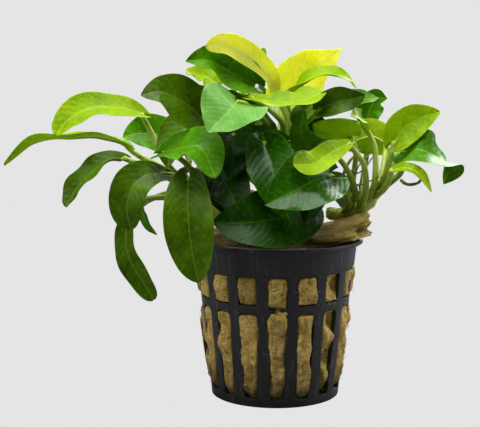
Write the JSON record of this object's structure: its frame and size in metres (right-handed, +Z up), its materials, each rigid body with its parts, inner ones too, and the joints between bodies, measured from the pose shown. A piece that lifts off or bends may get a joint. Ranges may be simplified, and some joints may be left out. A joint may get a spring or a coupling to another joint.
{
  "type": "potted anubias plant",
  "caption": "Dwarf anubias aquarium plant with leaves on creeping rhizomes, growing in rock wool in a round slotted plastic net pot.",
  "frame": {"origin": "middle of the pot's underside, on the surface that it stands on", "axes": "+Z up along the pot's axis, -Y towards the plant's front, +X to the right seen from the front"},
  "size_m": [0.1375, 0.0786, 0.1108],
  "materials": {
    "pot_plastic": "matte",
    "rock_wool": "matte",
    "rhizome_skin": "satin",
    "root_skin": "matte",
    "leaf_old": "satin",
    "leaf_grown": "satin",
    "leaf_young": "satin",
    "leaf_newest": "satin"
  },
  "bodies": {
    "root": {"net_pot": "pot_plastic", "wool_plug": "rock_wool", "wool_flap": "rock_wool", "rhizome_left": "rhizome_skin", "rhizome_middle": "rhizome_skin", "rhizome_right": "rhizome_skin", "rhizome_back": "rhizome_skin", "root_loop_right": "root_skin", "root_right": "root_skin", "leaf_left_arched": "leaf_young", "leaf_left_long": "leaf_grown", "leaf_left_folded": "leaf_old", "leaf_left_drooping": "leaf_old", "leaf_left_hanging": "leaf_old", "leaf_left_small": "leaf_grown", "leaf_front_left": "leaf_old", "leaf_left_bright": "leaf_grown", "leaf_left_behind": "leaf_grown", "leaf_left_shaded": "leaf_old", "leaf_golden_arched": "leaf_newest", "leaf_golden_upright": "leaf_newest", "leaf_top_left": "leaf_grown", "leaf_top_behind": "leaf_young", "leaf_top_shaded": "leaf_old", "leaf_top_far_left": "leaf_young", "leaf_top_front": "leaf_young", "leaf_top_right_arch": "leaf_grown", "leaf_upper_left": "leaf_old", "leaf_centre_light": "leaf_grown", "leaf_upper_right_cupped": "leaf_old", "leaf_upper_right": "leaf_grown", "leaf_upper_right_dark": "leaf_old", "leaf_centre_shaded": "leaf_old", "leaf_left_round": "leaf_old", "leaf_front_low_left": "leaf_old", "leaf_front_low_edge": "leaf_old", "leaf_centre_glossy": "leaf_old", "leaf_rim_broad": "leaf_old", "leaf_rim_small": "leaf_old", "leaf_inner_high": "leaf_old", "leaf_inner_right": "leaf_old", "leaf_inner_left": "leaf_old", "leaf_front_broad": "leaf_old", "leaf_right_twisted": "leaf_grown", "leaf_right_cupped": "leaf_young", "leaf_front_bright": "leaf_young", "leaf_right_pale": "leaf_young", "leaf_right_young": "leaf_young", "leaf_right_behind": "leaf_young", "leaf_right_hooked": "leaf_grown", "leaf_right_narrow": "leaf_young", "leaf_right_dark": "leaf_old", "leaf_right_upright": "leaf_grown", "leaf_back_high": "leaf_grown", "leaf_back_left": "leaf_old", "leaf_back_right": "leaf_grown", "leaf_back_hanging": "leaf_old", "leaf_back_low_left": "leaf_old", "leaf_back_low_right": "leaf_old", "leaf_back_rim": "leaf_old"}
  },
  "joints": []
}
